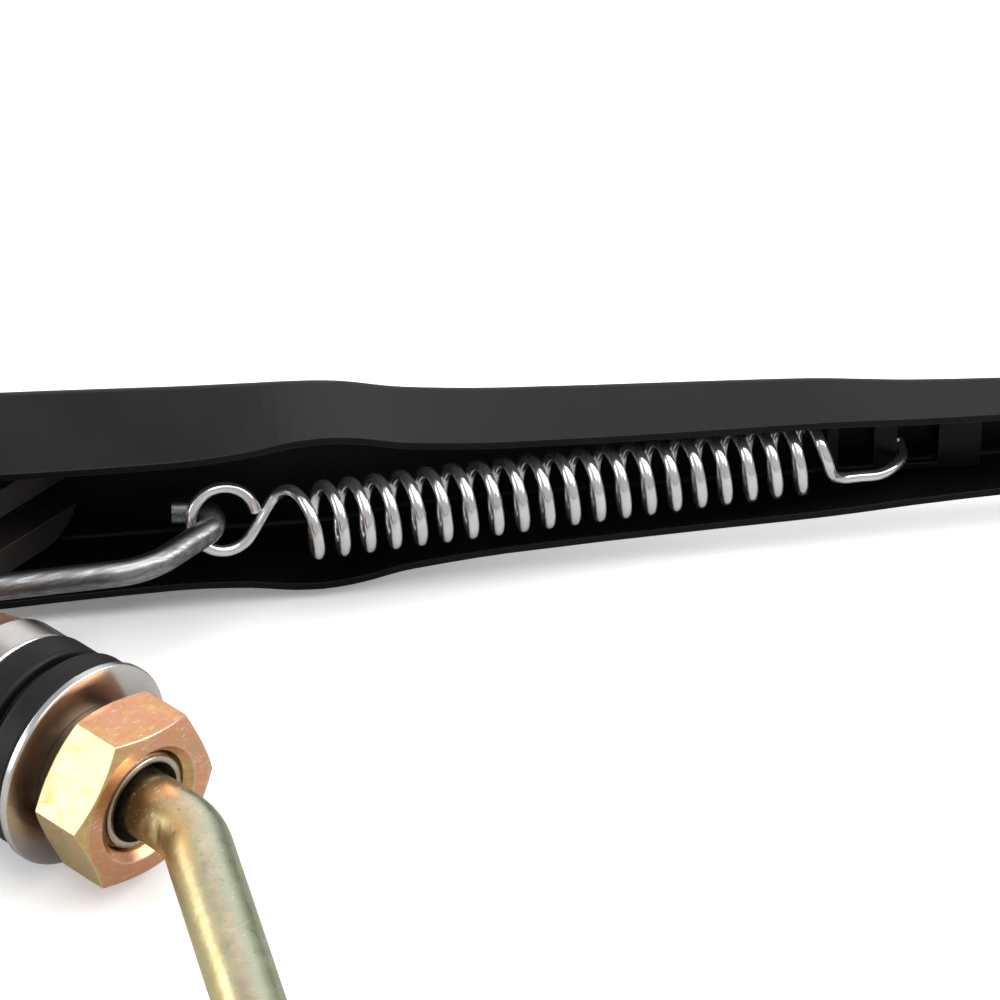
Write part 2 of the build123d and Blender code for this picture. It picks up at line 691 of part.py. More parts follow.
def blade_section(face):
    """Extrude a section of the blade, drawn as (z, y), over the holder's length."""
    start = Plane(origin=(CLIP_X - HOLDER_HALF_LENGTH, 0, 0), x_dir=(0, 0, 1), z_dir=(-1, 0, 0))
    return extrude(start * face, -2 * HOLDER_HALF_LENGTH)


def holder_face(grow):
    """Outline of the holder's section: round back, straight sides and lips that grip the rubber."""
    low = holder_top - HOLDER_HEIGHT
    half = HOLDER_HALF + grow
    outside = Pos(0, (holder_top + low) / 2) * Rectangle(2 * half, HOLDER_HEIGHT + 2 * grow)
    top = [v for v in outside.vertices() if v.Y > low + HOLDER_HEIGHT / 2]
    return fillet(top, HOLDER_ROUND + grow)


def rubber_room(play):
    """Head and neck of the rubber, widened by play."""
    low = holder_top - HOLDER_HEIGHT
    head_low = low + HOLDER_T
    head = Pos(0, (rubber_top + head_low) / 2) * Rectangle(
        2 * (RUBBER_WIDE + play), rubber_top - head_low + 2 * play
    )
    neck = Pos(0, low) * Rectangle(2 * (RUBBER_NECK + play), 4 * HOLDER_T)
    return head + neck


def blade_holder():
    return on_arm(blade_section(holder_face(0.0) - rubber_room(SEAT)))


def blade_rubber():
    low = holder_top - HOLDER_HEIGHT
    shoulder = low - 2 * HOLDER_T
    squeegee = Polyline(
        (-RUBBER_WIDE, shoulder), (-RUBBER_WIDE, shoulder - HOLDER_T), (-RUBBER_LIP, low - RUBBER_DROP),
        (RUBBER_LIP, low - RUBBER_DROP), (RUBBER_WIDE, shoulder - HOLDER_T), (RUBBER_WIDE, shoulder),
        close=True,
    )
    return on_arm(blade_section(rubber_room(0.0) + make_face(squeegee)))


def blade_end_clips():
    face = holder_face(END_CLIP_T + SEAT) - holder_face(SEAT)
    low = holder_top - HOLDER_HEIGHT
    face -= Pos(0, low) * Rectangle(2 * (RUBBER_NECK + GAP), 2 * HOLDER_T)
    start = Plane(origin=(CLIP_X - HOLDER_HALF_LENGTH, 0, 0), x_dir=(0, 0, 1), z_dir=(-1, 0, 0))
    clip = extrude(start * face, -END_CLIP_LENGTH)
    far = Pos(2 * HOLDER_HALF_LENGTH - END_CLIP_LENGTH, 0, 0) * clip
    return on_arm(Compound(children=[clip, far]))


def folding_parts():
    rivets = [strip_rivet(x, strip_low, WEB_Y) for x in STRIP_RIVETS]
    return {
        "arm_channel": arm_channel(),
        "hinge_rivets": both_sides(hinge_rivet()),
        "hinge_spacers": both_sides(hinge_spacer()),
        "spring_anchor": spring_anchor(),
        "arm_strip": arm_strip(),
        "strip_rivets": on_arm(Compound(children=rivets)),
        "blade_clip": blade_clip(),
        "clip_rivet": on_arm(strip_rivet(CLIP_X, strip_low - CLIP_T, web_inner)),
        "hook_link": hook_link(),
        "tension_spring": tension_spring(),
    }


def blade_parts():
    return {
        "blade_pin": blade_pin(),
        "blade_saddle": blade_saddle(),
        "blade_holder": blade_holder(),
        "blade_rubber": blade_rubber(),
        "blade_end_clips": blade_end_clips(),
    }


def main():
    os.makedirs("parts", exist_ok=True)
    nodes = {**clamp_parts(), **turning_parts(), **folding_parts(), **blade_parts()}
    for name, shape in nodes.items():
        export_step(shape, f"parts/{name}.step")


main()
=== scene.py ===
from math import cos, pi, radians, sin

import bmesh
import bpy
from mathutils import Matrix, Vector


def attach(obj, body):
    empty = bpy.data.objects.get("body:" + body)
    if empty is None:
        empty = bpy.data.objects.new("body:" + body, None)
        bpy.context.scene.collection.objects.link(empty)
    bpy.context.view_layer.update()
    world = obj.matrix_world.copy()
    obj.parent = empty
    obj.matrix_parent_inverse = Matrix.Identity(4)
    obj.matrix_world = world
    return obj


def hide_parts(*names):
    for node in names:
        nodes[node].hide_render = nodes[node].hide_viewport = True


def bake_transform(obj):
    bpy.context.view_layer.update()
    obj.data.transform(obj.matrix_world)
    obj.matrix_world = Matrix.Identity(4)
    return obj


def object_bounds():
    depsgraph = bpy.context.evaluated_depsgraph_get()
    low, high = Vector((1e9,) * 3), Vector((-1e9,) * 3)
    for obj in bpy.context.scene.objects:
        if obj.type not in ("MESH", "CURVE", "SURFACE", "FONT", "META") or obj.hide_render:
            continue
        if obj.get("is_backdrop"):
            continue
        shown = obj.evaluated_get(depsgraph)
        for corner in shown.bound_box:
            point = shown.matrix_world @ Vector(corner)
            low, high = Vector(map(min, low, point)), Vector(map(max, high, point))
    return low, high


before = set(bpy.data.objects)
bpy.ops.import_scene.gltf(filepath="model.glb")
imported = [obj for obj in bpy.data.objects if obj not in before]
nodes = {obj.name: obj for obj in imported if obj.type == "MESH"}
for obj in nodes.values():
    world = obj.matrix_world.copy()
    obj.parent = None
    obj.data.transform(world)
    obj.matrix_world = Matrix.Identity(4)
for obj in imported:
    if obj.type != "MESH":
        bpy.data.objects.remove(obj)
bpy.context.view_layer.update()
MM = 0.001

# Camera, in degrees, metres and millimetres of sensor
VIEW_AZIMUTH = -47.4
VIEW_ELEVATION = 37.7
VIEW_DISTANCE = 0.9
VIEW_TARGET = Vector((0.08565, -0.00743, 0.0))
SENSOR = 36.0
LENS = 5.958 * SENSOR
CLIP_START = 0.01

# Floor: sizes in metres, and its glow for the camera, which grows with millimetres from the stack's shadow:
# painted shadow round the stack, painted light washing shadows out further away
FLOOR_HALF = 6.0
FLOOR_GAP = 0.0002
SHADE_CENTRE = Vector((30.0, 20.0, -16.0))
SHADE_REACH = (15.0, 100.0)
FLOOR_LIFT = (0.15, 0.52)

# Lamps: name, place, aim and size in metres, and power in watts
LAMPS = (
    ("left_back", (-0.6, 0.8, 0.36), (0.03, 0.0, 0.0), (1.0, 0.5), 4.4),
    ("right_back", (0.85, 0.65, 0.55), (0.08, 0.0, 0.0), (0.9, 0.7), 1.1),
    ("top", (0.05, -0.25, 1.0), (0.08, 0.0, 0.0), (1.0, 1.0), 7.0),
    ("front_right", (0.6, -0.55, 0.6), (0.2, -0.05, 0.0), (0.5, 0.5), 4.5),
)
WORLD_STRENGTH = 0.46

# Places and angles taken from the part, in millimetres and degrees
HINGE = Vector((23.0, 56.1, 0.0))
ARM_ANGLE = radians(-42.4)
LINK_ANGLE = radians(-28.0)
LINK_CRANK = Vector((36.6, 21.0, 1.2))
HOOK_CENTRE = Vector((50.0, 22.82, 0.0))

# Spring wire, in millimetres
WIRE_R = 0.9
WIRE_SIDES = 14

# Coil, in millimetres: COIL_LEAD draws out the first half turn, COIL_LEAN tips the turns towards COIL_FRONT
COIL_START = Vector((61.2, 11.04, 0.0))
COIL_ANGLE = radians(-35.2)
COIL_AXIS = Vector((cos(COIL_ANGLE), sin(COIL_ANGLE), 0.0))
COIL_SIDE = Vector((-COIL_AXIS.y, COIL_AXIS.x, 0.0))
UP = Vector((0.0, 0.0, 1.0))
COIL_FROM = radians(30.0)
COIL_R = 5.1
COIL_PITCH = 3.95
COIL_TURNS = 20.28
COIL_LEAD = 2.2
COIL_LEAN = 0.095
COIL_FRONT = radians(143.0)
COIL_STEPS = 44

# Ring in the link's hook, in millimetres and degrees
RING_R = 4.95
RING_TILT = radians(22.0)
RING_FROM = 5
RING_TO = 325
RING_STEP = 5
NECK_STEPS = 14

# Side hook in the anchor plate, as points in the arm's own axes
HOOK_RUN = (
    (139.4, -1.8, 1.5), (139.9, -1.3, -0.6), (140.6, -0.6, -2.0), (142.1, 0.3, -3.2), (144.8, 1.0, -3.6),
    (147.9, 1.4, -3.7), (150.2, 2.8, -3.5), (151.7, 4.8, -3.4), (152.0, 6.4, -3.1), (151.7, 7.6, -2.6),
    (151.3, 8.1, -2.0),
)
HOOK_STEPS = 8

# Wrinkle on the inside of the rod's bend, in millimetres
CREASE = Vector((-2.5, -24.0, 0.3))
CREASE_REACH = 3.4
CREASE_WAVES = 3.6

# Where the rod leaves the tube and is painted darker as shade, in millimetres
ROD_MOUTH_SHADE = Vector((-2.5, -17.5, 1.0))

# Side where the channel is open; the side where the rod gets its painted highlight; and the side where the
# nut's plating turns gold and brightest, partly plating tint and partly painted highlight
OPEN_SIDE = (-0.674, -0.738, 0.0)
ROD_HIGHLIGHT_SIDE = (-0.84, 0.54, 0.0)
NUT_LIT_GOLD_SIDE = (-0.97, 0.0, 0.25)

# Spindle tube and its thread, in millimetres, with rows of points for each turn of the thread
TUBE_R = 8.0
TUBE_BORE_R = 6.35
TUBE_FROM = -17.8
TUBE_TO = 31.7
TUBE_SIDES = 40
THREAD_PITCH = 1.5
THREAD_DEPTH = 0.75
THREAD_ROWS = 6

# Range that most of a noise lies in, and the samples of a rounded edge
LOW = 0.3
HIGH = 0.7
EDGE_SAMPLES = 6


def arm_point(x, y, z):
    """A point in the arm's own axes, in millimetres."""
    along = Vector((cos(ARM_ANGLE), sin(ARM_ANGLE), 0.0))
    out = Vector((-along.y, along.x, 0.0))
    return HINGE + along * x + out * y + Vector((0.0, 0.0, z))


# Node helpers
class Tree:
    """A material's node tree with short calls for the nodes used here."""

    def __init__(self, name):
        self.material = bpy.data.materials.new(name)
        self.material.use_nodes = True
        self.nodes = self.material.node_tree.nodes
        self.links = self.material.node_tree.links
        self.shader = self.nodes["Principled BSDF"]

    def put(self, socket, value):
        """Link an output to a socket, or set the socket's own value."""
        if isinstance(value, bpy.types.NodeSocket):
            self.links.new(value, socket)
        else:
            socket.default_value = value

    def set(self, **values):
        """Set the shader's inputs by name."""
        for key, value in values.items():
            self.put(self.shader.inputs[key.replace("_", " ")], value)

    def coordinate(self, kind):
        return self.nodes.new("ShaderNodeTexCoord").outputs[kind]

    def place(self, stretch=(1.0, 1.0, 1.0), turn=0.0):
        """Object coordinates in millimetres, turned about Z and then drawn out along the turned axes."""
        mapping = self.nodes.new("ShaderNodeMapping")
        mapping.vector_type = "TEXTURE"
        mapping.inputs["Scale"].default_value = [MM * s for s in stretch]
        mapping.inputs["Rotation"].default_value = (0.0, 0.0, turn)
        self.put(mapping.inputs["Vector"], self.coordinate("Object"))
        return mapping.outputs["Vector"]

    def noise(self, vector, scale, detail=3.0, rough=0.55, distortion=0.0):
        node = self.nodes.new("ShaderNodeTexNoise")
        self.put(node.inputs["Vector"], vector)
        node.inputs["Scale"].default_value = scale
        node.inputs["Detail"].default_value = detail
        node.inputs["Roughness"].default_value = rough
        node.inputs["Distortion"].default_value = distortion
        return node.outputs["Fac"]

    def ramp(self, factor, *stops):
        """Colour from a factor, through stops of a position and a colour."""
        node = self.nodes.new("ShaderNodeValToRGB")
        while len(node.color_ramp.elements) < len(stops):
            node.color_ramp.elements.new(0.5)
        for element, (at, colour) in zip(node.color_ramp.elements, stops):
            element.position = at
            element.color = (*colour, 1.0)
        self.put(node.inputs["Fac"], factor)
        return node.outputs["Color"]

    def span(self, factor, low, high, to_low, to_high):
        """Map a factor from one range to another, held at its ends."""
        node = self.nodes.new("ShaderNodeMapRange")
        node.inputs["From Min"].default_value = low
        node.inputs["From Max"].default_value = high
        node.inputs["To Min"].default_value = to_low
        node.inputs["To Max"].default_value = to_high
        self.put(node.inputs["Value"], factor)
        return node.outputs["Result"]

    def math(self, operation, a, b=0.0):
        node = self.nodes.new("ShaderNodeMath")
        node.operation = operation
        self.put(node.inputs[0], a)
        self.put(node.inputs[1], b)
        return node.outputs["Value"]

    def measure(self, operation, a, b):
        """A single number from two vectors."""
        node = self.nodes.new("ShaderNodeVectorMath")
        node.operation = operation
        self.put(node.inputs[0], a)
        self.put(node.inputs[1], b)
        return node.outputs["Value"]

    def mix(self, factor, a, b):
        node = self.nodes.new("ShaderNodeMix")
        node.data_type = "RGBA"
        self.put(node.inputs["Factor"], factor)
        self.put(node.inputs["A"], a if isinstance(a, bpy.types.NodeSocket) else (*a, 1.0))
        self.put(node.inputs["B"], b if isinstance(b, bpy.types.NodeSocket) else (*b, 1.0))
        return node.outputs["Result"]

    def toward(self, direction):
        """How far the surface faces a direction of the object's own axes, from -1 to 1."""
        return self.measure("DOT_PRODUCT", self.coordinate("Normal"), direction)

    def reach(self, point):
        """Distance from a point of the object, in millimetres."""
        away = self.measure("DISTANCE", self.coordinate("Object"), point * MM)
        return self.math("MULTIPLY", away, 1.0 / MM)

    def rounded(self, radius):
        """The surface's direction with its edges rounded by radius millimetres."""
        bevel = self.nodes.new("ShaderNodeBevel")
        bevel.samples = EDGE_SAMPLES
        bevel.inputs["Radius"].default_value = radius * MM
        return bevel.outputs["Normal"]

    def edge(self, radius):
        """How much the surface turns within radius: 0 on flats, towards 1 at sharp edges."""
        plain = self.nodes.new("ShaderNodeNewGeometry").outputs["Normal"]
        return self.span(self.measure("DOT_PRODUCT", self.rounded(radius), plain), 0.98, 0.88, 0.0, 1.0)

    def bump(self, height, strength, distance, round_edge=0.0):
        """Bump from a height, over edges rounded by round_edge millimetres."""
        node = self.nodes.new("ShaderNodeBump")
        node.inputs["Strength"].default_value = strength
        node.inputs["Distance"].default_value = distance * MM
        self.put(node.inputs["Height"], height)
        if round_edge:
            self.put(node.inputs["Normal"], self.rounded(round_edge))
        self.set(Normal=node.outputs["Normal"])


# Materials
def satin_paint(name, low, high, rough_low, rough_high, shine):
    """Black stove enamel over pressed steel: fine orange peel, dust and a painted highlight along its edges.
    """
    t = Tree(name)
    at = t.place()
    cloud = t.noise(at, 0.06, 4.0)
    fine = t.noise(at, 2.2, 2.0)
    dust = t.span(t.noise(at, 1.1, 2.0, 0.4), 0.7, 0.76, 0.0, 0.25)
    colour = t.mix(t.span(cloud, LOW, HIGH, 0.0, 1.0), low, high)
    # Painted highlight: lighter paint where the surface turns at an edge
    colour = t.mix(t.math("MULTIPLY", t.edge(0.35), 0.16), colour, (0.05, 0.048, 0.046))
    colour = t.mix(dust, colour, (0.02, 0.0195, 0.019))
    t.set(Base_Color=colour, Roughness=t.span(cloud, LOW, HIGH, rough_low, rough_high))
    t.set(Specular_IOR_Level=t.span(t.toward(OPEN_SIDE), 0.3, 0.8, shine, shine * 0.4))
    t.bump(fine, 0.1, 0.05, 0.3)
    return t.material


def bright_wire(name):
    """Drawn spring wire: polished, with faint die lines."""
    t = Tree(name)
    at = t.place()
    cloud = t.noise(at, 0.35, 3.0)
    lines = t.noise(at, 5.0, 4.0, 0.7)
    colour = t.mix(t.span(cloud, LOW, HIGH, 0.0, 1.0), (0.74, 0.74, 0.75), (0.9, 0.9, 0.9))
    t.set(Base_Color=colour, Metallic=0.94, Roughness=t.span(lines, LOW, HIGH, 0.12, 0.22))
    t.bump(lines, 0.1, 0.02)
    return t.material


def scuffed_zinc(name):
    """Dull zinc-plated wire with scuffs along its length, darker patches and a brighter, shinier crank."""
    t = Tree(name)
    along = t.noise(t.place((7.0, 0.55, 0.55), LINK_ANGLE), 1.2, 5.0, 0.7, 0.2)
    patch = t.noise(t.place((1.6, 1.0, 1.0), LINK_ANGLE), 0.16, 4.0, 0.6)
    # Brighter and shinier round the crank
    crank_bright = t.span(t.reach(LINK_CRANK), 2.0, 6.0, 0.2, 0.0)
    along = t.math("ADD", along, crank_bright)
    colour = t.ramp(along, (0.3, (0.1, 0.1, 0.102)), (0.52, (0.2, 0.2, 0.205)), (0.76, (0.44, 0.44, 0.437)))
    colour = t.mix(t.span(patch, 0.5, 0.72, 0.0, 0.4), colour, (0.13, 0.127, 0.123))
    t.set(Base_Color=colour, Metallic=1.0, Roughness=t.span(along, LOW, HIGH, 0.42, 0.28))
    t.bump(along, 0.18, 0.06)
    return t.material


def worn_zinc_and_edge_highlight(t, at, colour, blotch):
    """Finish a passivated surface with brown pits, pale scuffs and paler edges, partly wear and partly
    painted highlight.
    """
    pits = t.span(t.noise(at, 1.5, 4.0, 0.65), 0.6, 0.72, 0.0, 0.6)
    colour = t.mix(pits, colour, (0.4, 0.2, 0.08))
    scuff = t.span(t.noise(t.place((2.6, 0.85, 0.6)), 1.3, 5.0, 0.7), 0.57, 0.68, 0.0, 0.7)
    colour = t.mix(scuff, colour, (0.95, 0.9, 0.8))
    # Paler edges: partly wear, partly painted highlight
    colour = t.mix(t.math("MULTIPLY", t.edge(0.45), 0.9), colour, (1.0, 0.93, 0.76))
    t.set(Base_Color=colour, Metallic=1.0, Roughness=t.span(blotch, LOW, HIGH, 0.26, 0.42))


def nut_plating(name):
    """Yellow passivated zinc on the nuts: gold that turns orange, pink and olive in patches, and gold and
    brightest towards the lit side, partly tint and partly painted highlight.
    """
    t = Tree(name)
    at = t.place()
    cloud = t.noise(at, 0.13, 4.0, 0.6, 1.0)
    blotch = t.noise(at, 0.4, 5.0, 0.65, 0.5)
    # Tint by facing: gold and brightest towards the lit side, partly the plating's tint and partly painted
    # highlight
    film_and_highlight = t.span(t.toward(NUT_LIT_GOLD_SIDE), -0.2, 1.0, 0.46, 0.12)
    film_and_highlight = t.math("ADD", film_and_highlight, t.math("MULTIPLY", cloud, 0.5))
    film_and_highlight = t.math("ADD", film_and_highlight, t.math("MULTIPLY", t.math("SUBTRACT", blotch, 0.14), 0.5))
    colour = t.ramp(
        film_and_highlight, (0.44, (0.84, 0.66, 0.26)), (0.58, (0.95, 0.74, 0.34)), (0.7, (0.9, 0.56, 0.24)),
        (0.8, (0.88, 0.44, 0.22)), (0.9, (0.9, 0.43, 0.28)), (0.99, (0.72, 0.5, 0.26)),
    )
    worn_zinc_and_edge_highlight(t, at, colour, blotch)
    t.bump(blotch, 0.12, 0.1, 0.35)
    return t.material


def rod_plating(name):
    """The same plating on the bent rod: bands of gold, pink and green round it, partly tints and partly
    painted highlight and shade, painted shade where it leaves the tube, and a wrinkle in the bend.
    """
    t = Tree(name)
    at = t.place()
    blotch = t.noise(at, 0.36, 5.0, 0.65, 0.5)
    cloud = t.noise(at, 0.09, 3.0, 0.6, 0.6)
    # Colour follows which way the surface faces: partly the plating's tints, partly a painted highlight on
    # one side and painted shade on the other
    band_and_highlight = t.span(t.toward(ROD_HIGHLIGHT_SIDE), -1.0, 1.0, -0.02, 0.72)
    band_and_highlight = t.math("ADD", band_and_highlight, t.math("MULTIPLY", cloud, 0.32))
    band_and_highlight = t.math("ADD", band_and_highlight, t.math("MULTIPLY", blotch, 0.24))
    colour = t.ramp(
        band_and_highlight, (0.3, (0.4, 0.42, 0.24)), (0.44, (0.56, 0.62, 0.42)), (0.56, (0.66, 0.68, 0.5)),
        (0.64, (0.84, 0.7, 0.5)), (0.72, (0.92, 0.86, 0.56)), (0.84, (0.9, 0.76, 0.4)),
        (0.95, (0.7, 0.6, 0.3)),
    )
    # Painted shade where the rod leaves the tube
    colour = t.mix(t.span(t.reach(ROD_MOUTH_SHADE), 4.0, 9.5, 0.85, 0.0), colour, (0.11, 0.085, 0.035))
    worn_zinc_and_edge_highlight(t, at, colour, blotch)
    reach = t.reach(CREASE)
    folds = t.math("SINE", t.math("MULTIPLY", reach, CREASE_WAVES))
    folds = t.math("MULTIPLY", folds, t.span(reach, CREASE_REACH * 0.4, CREASE_REACH, 1.0, 0.0))
    height = t.math("ADD", t.math("MULTIPLY", blotch, 0.2), folds)
    t.bump(height, 1.0, 0.26, 0.35)
    return t.material


def polished_plate(name):
    """Bright plated washer with fine turning marks round the spindle axis, and a painted reflection of the
    nut's shaded side that darkens it close to the nut.
    """
    t = Tree(name)
    at = t.place()
    apart = t.nodes.new("ShaderNodeSeparateXYZ")
    t.put(apart.inputs["Vector"], at)
    x = apart.outputs["X"]
    z = apart.outputs["Z"]
    reach = t.math("SQRT", t.math("ADD", t.math("MULTIPLY", x, x), t.math("MULTIPLY", z, z)))
    rings = t.nodes.new("ShaderNodeTexNoise")
    rings.noise_dimensions = "1D"
    t.put(rings.inputs["W"], reach)
    rings.inputs["Scale"].default_value = 6.0
    rings.inputs["Detail"].default_value = 4.0
    cloud = t.noise(at, 0.14, 4.0)
    colour = t.mix(t.span(cloud, 0.35, HIGH, 0.0, 1.0), (0.8, 0.78, 0.76), (0.68, 0.66, 0.64))
    # Painted reflection of the nut's shaded side: darker towards the spindle axis
    colour = t.mix(t.span(reach, 11.0, 15.5, 0.6, 0.0), colour, (0.3, 0.26, 0.22))
    t.set(Base_Color=colour, Metallic=1.0, Roughness=t.span(cloud, LOW, HIGH, 0.2, 0.3))
    t.bump(rings.outputs["Fac"], 0.05, 0.03, 0.25)
    return t.material


def satin_metal(name, dark, light, rough):
    """Plain plated or turned metal."""
    t = Tree(name)
    at = t.place()
    cloud = t.noise(at, 0.2, 4.0)
    fine = t.noise(at, 3.0, 4.0, 0.7)
    colour = t.mix(t.span(cloud, LOW, HIGH, 0.0, 1.0), dark, light)
    t.set(Base_Color=colour, Metallic=1.0, Roughness=t.span(fine, LOW, HIGH, rough - 0.07, rough + 0.07))
    t.bump(fine, 0.08, 0.03, 0.25)
    return t.material


def moulded_rubber(name):
    """Black rubber with a dusty bloom."""
    t = Tree(name)
    at = t.place()
    cloud = t.noise(at, 0.15, 4.0)
    grain = t.noise(at, 4.0, 3.0, 0.7)
    colour = t.mix(t.span(cloud, 0.35, HIGH, 0.0, 1.0), (0.005, 0.005, 0.0052), (0.011, 0.011, 0.0113))
    t.set(Base_Color=colour, Roughness=t.span(cloud, LOW, HIGH, 0.42, 0.58), Specular_IOR_Level=0.28)
    t.bump(grain, 0.12, 0.06, 0.3)
    return t.material


def moulded_plastic(name, dark, light, rough):
    """Moulded plastic with a fine spark-eroded grain."""
    t = Tree(name)
    at = t.place()
    grain = t.noise(at, 2.6, 2.0)
    cloud = t.noise(at, 0.08, 3.0)
    colour = t.mix(t.span(cloud, LOW, HIGH, 0.0, 1.0), dark, light)
    t.set(Base_Color=colour, Roughness=t.span(grain, LOW, HIGH, rough - 0.06, rough + 0.08))
    t.bump(grain, 0.15, 0.06, 0.3)
    return t.material


def give(material, *names):
    """Put one material on CAD nodes, in each of their slots."""
    for name in names:
        mesh = nodes[name].data
        if not mesh.materials:
            mesh.materials.append(material)
        for i in range(len(mesh.materials)):
            mesh.materials[i] = material


arm_paint = satin_paint("arm_paint", (0.0026, 0.0026, 0.0027), (0.005, 0.005, 0.0051), 0.32, 0.4, 0.32)
head_paint = satin_paint("head_paint", (0.013, 0.0115, 0.011), (0.026, 0.0225, 0.021), 0.3, 0.42, 0.55)
spring_steel = bright_wire("spring_steel")
link_zinc = scuffed_zinc("link_zinc")
nut_zinc = nut_plating("nut_zinc")
rod_zinc = rod_plating("rod_zinc")
washer_plate = polished_plate("washer_plate")
tube_zinc = satin_metal("tube_zinc", (0.44, 0.39, 0.31), (0.64, 0.58, 0.48), 0.3)
plain_zinc = satin_metal("plain_zinc", (0.5, 0.5, 0.51), (0.7, 0.7, 0.71), 0.34)
# Tube bore: near-black metal, painted shade inside the tube
bore_shade = satin_metal("bore_shade", (0.03, 0.022, 0.015), (0.06, 0.045, 0.03), 0.5)
# Lock washer: dark zinc, darkened further as painted shade for the gap between nut and washer
dark_zinc_and_shade = satin_metal("dark_zinc_and_shade", (0.08, 0.062, 0.045), (0.2, 0.15, 0.1), 0.4)
bronze = satin_metal("bronze", (0.45, 0.3, 0.16), (0.6, 0.42, 0.24), 0.45)
stainless = satin_metal("stainless", (0.3, 0.3, 0.312), (0.42, 0.42, 0.433), 0.45)
rubber = moulded_rubber("rubber")
grip_plastic = moulded_plastic("grip_plastic", (0.012, 0.012, 0.013), (0.022, 0.022, 0.023), 0.38)
nylon = moulded_plastic("nylon", (0.1, 0.1, 0.1), (0.16, 0.16, 0.16), 0.5)

give(arm_paint, "arm_channel", "spring_anchor", "arm_strip", "blade_clip")
give(head_paint, "arm_head")
give(link_zinc, "hook_link")
give(nut_zinc, "inner_nut", "outer_nut")
give(rod_zinc, "handle_rod")
give(washer_plate, "inner_washer", "outer_collar")
give(tube_zinc, "spacer_sleeve")
give(dark_zinc_and_shade, "lock_washer")
give(plain_zinc, "head_washer", "head_nut", "anchor_pin")
give(plain_zinc, "hinge_rivets", "strip_rivets", "clip_rivet", "blade_pin")
give(bronze, "inner_bush", "outer_bush")
give(stainless, "blade_saddle", "blade_holder", "blade_end_clips")
give(rubber, "inner_rubber_washer", "outer_rubber_washer", "blade_rubber")
give(grip_plastic, "handle_grip")
give(nylon, "hinge_spacers")


# Pieces made here
def finish_mesh(name, mesh, material):
    """Turn a bmesh into a smooth-shaded object of the scene."""
    data = bpy.data.meshes.new(name)
    for face in mesh.faces:
        face.smooth = len(face.verts) <= 4
    mesh.to_mesh(data)
    mesh.free()
    data.materials.append(material)
    piece = bpy.data.objects.new(name, data)
    bpy.context.collection.objects.link(piece)
    return piece


def tube_mesh(name, points, radius, sides, material):
    """Round wire along points in millimetres, closed at both ends."""
    mesh = bmesh.new()
    rings = []
    lean = Vector((0.3, 0.5, 0.81))
    for i, point in enumerate(points):
        ahead = (points[min(i + 1, len(points) - 1)] - points[max(i - 1, 0)]).normalized()
        lean = (lean - ahead * lean.dot(ahead)).normalized()
        other = ahead.cross(lean)
        ring = []
        for k in range(sides):
            a = 2 * pi * k / sides
            ring.append(mesh.verts.new((point + (lean * cos(a) + other * sin(a)) * radius) * MM))
        rings.append(ring)
    for near, far in zip(rings, rings[1:]):
        for k in range(sides):
            mesh.faces.new((near[k], near[(k + 1) % sides], far[(k + 1) % sides], far[k]))
    mesh.faces.new(rings[0][::-1])
    mesh.faces.new(rings[-1])
    return finish_mesh(name, mesh, material)


def curve_through(before, stops, steps):
    """Points on a smooth curve from the last of before through the stops."""
    line = [before[-2], before[-1], *stops, stops[-1] * 2 - stops[-2]]
    points = []
    for i in range(1, len(line) - 2):
        a, b, c, d = line[i - 1:i + 3]
        for k in range(1, steps + 1):
            t = k / steps
            points.append(0.5 * (2 * b + (c - a) * t + (2 * a - 5 * b + 4 * c - d) * t**2
                                 + (3 * b - a - 3 * c + d) * t**3))
    return points


def join(start, start_way, end, end_way, steps):
    """Points on a smooth curve between two ends that leaves and arrives the given ways."""
    points = []
    for k in range(1, steps):
        t = k / steps
        points.append(start * (2 * t**3 - 3 * t**2 + 1) + start_way * (t**3 - 2 * t**2 + t)
                      + end * (3 * t**2 - 2 * t**3) + end_way * (t**3 - t**2))
    return points


def ring_points():
    """The open ring that hangs in the link's hook."""
    middle = HOOK_CENTRE + COIL_AXIS * RING_R
    up = COIL_SIDE * sin(RING_TILT) + UP * cos(RING_TILT)
    angles = [radians(a) for a in range(RING_FROM, RING_TO + 1, RING_STEP)]
    return [middle + (COIL_AXIS * cos(a) + up * sin(a)) * RING_R for a in angles]


def coil_points():
    """The coil's turns from the neck to the side hook. Their lean fades along the coil."""
    points = []
    for i in range(round(COIL_TURNS * COIL_STEPS) + 1):
        turns = i / COIL_STEPS
        a = COIL_FROM + 2 * pi * turns
        along = COIL_PITCH * turns - COIL_LEAD * max(0.0, 1.0 - 2.0 * turns) ** 2
        along += COIL_LEAN * (1.0 - turns / COIL_TURNS) * COIL_R * cos(a - COIL_FRONT)
        points.append(COIL_START + COIL_AXIS * along + (COIL_SIDE * cos(a) + UP * sin(a)) * COIL_R)
    return points


def spring_points():
    """The whole wire: ring, neck, coil and side hook."""
    ring = ring_points()
    coil = coil_points()
    reach = (coil[0] - ring[-1]).length
    leave = (ring[-1] - ring[-2]).normalized() * reach
    arrive = (coil[1] - coil[0]).normalized() * reach
    neck = join(ring[-1], leave, coil[0], arrive, NECK_STEPS)
    hook = curve_through(coil, [arm_point(*p) for p in HOOK_RUN], HOOK_STEPS)
    return ring + neck + coil + hook


def thread_radius(y, a):
    """Radius of the thread at a place along the tube and an angle, fading out at both ends."""
    lead = min(1.0, (y - TUBE_FROM) / THREAD_PITCH, (TUBE_TO - y) / THREAD_PITCH)
    t = (y / THREAD_PITCH - a / (2 * pi)) % 1.0
    height = min(1.0, max(0.0, 1.5 - abs(t - 0.5) * 4.0))
    return TUBE_R - THREAD_DEPTH + THREAD_DEPTH * lead * height


